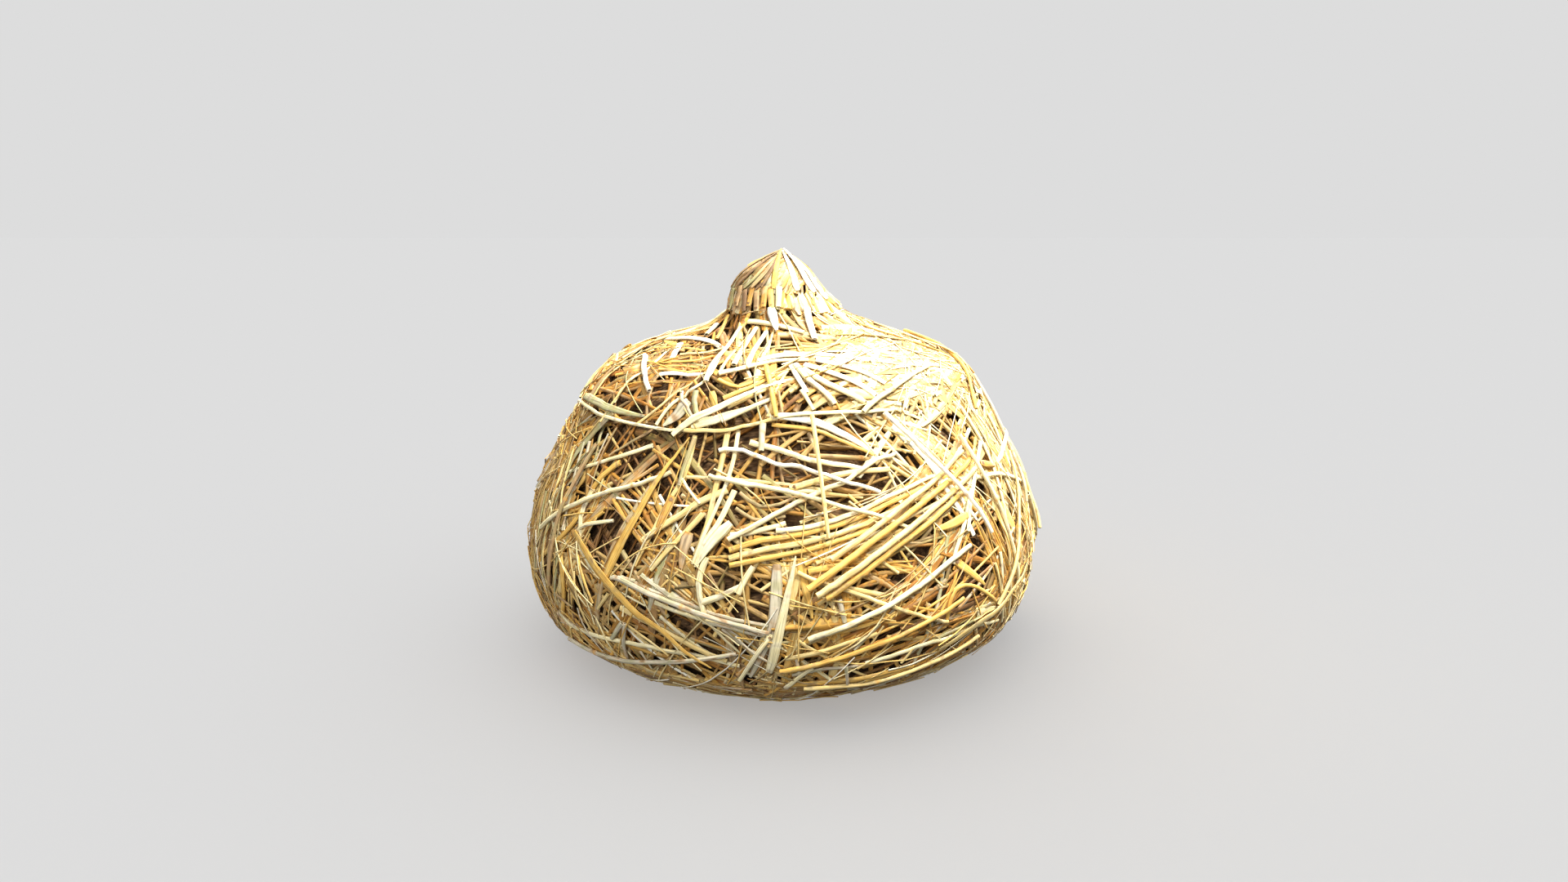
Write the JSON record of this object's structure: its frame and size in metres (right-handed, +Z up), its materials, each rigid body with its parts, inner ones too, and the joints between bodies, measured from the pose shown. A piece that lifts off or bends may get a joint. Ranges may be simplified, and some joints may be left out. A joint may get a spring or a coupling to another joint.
{
  "type": "pile of hay",
  "caption": "Small domed pile of loose hay with a pinched peak and a flat underside, with loose straws and leaf blades lying over it.",
  "frame": {"origin": "on the ground under the middle of the pile", "axes": "+Z up, the front as pictured faces -Y, +X to the right"},
  "size_m": [0.4492, 0.4566, 0.327],
  "materials": {
    "packed_hay": "matted dry stems, tan and gold over dark gaps",
    "straw": "smooth dry stalk, slightly glossy, gold to pale straw",
    "leaf_blade": "dry ribbed leaf, matt"
  },
  "bodies": {
    "root": {"heap": "packed_hay", "cap": "packed_hay", "peak": "packed_hay", "blade_01": "leaf_blade", "blade_02": "leaf_blade", "blade_03": "leaf_blade", "blade_04": "leaf_blade", "blade_05": "leaf_blade", "blade_06": "leaf_blade", "blade_07": "leaf_blade", "blade_08": "leaf_blade", "blade_09": "leaf_blade", "blade_10": "leaf_blade", "blade_11": "leaf_blade", "blade_12": "leaf_blade", "straw_01": "straw", "straw_02": "straw", "straw_03": "straw", "straw_04": "straw", "straw_05": "straw", "straw_06": "straw", "straw_07": "straw", "straw_08": "straw", "straw_09": "straw", "straw_10": "straw", "straw_11": "straw", "straw_12": "straw", "straw_13": "straw", "straw_14": "straw", "straw_15": "straw", "straw_16": "straw", "straw_17": "straw", "straw_18": "straw", "straw_19": "straw", "straw_20": "straw", "straw_21": "straw", "straw_22": "straw", "straw_23": "straw", "straw_24": "straw", "straw_25": "straw", "straw_26": "straw", "straw_27": "straw", "straw_28": "straw", "straw_29": "straw", "straw_30": "straw", "straw_31": "straw", "straw_32": "straw", "straw_33": "straw", "straw_34": "straw", "straw_35": "straw", "straw_36": "straw", "straw_37": "straw", "straw_38": "straw", "straw_39": "straw", "straw_40": "straw"}
  },
  "joints": []
}
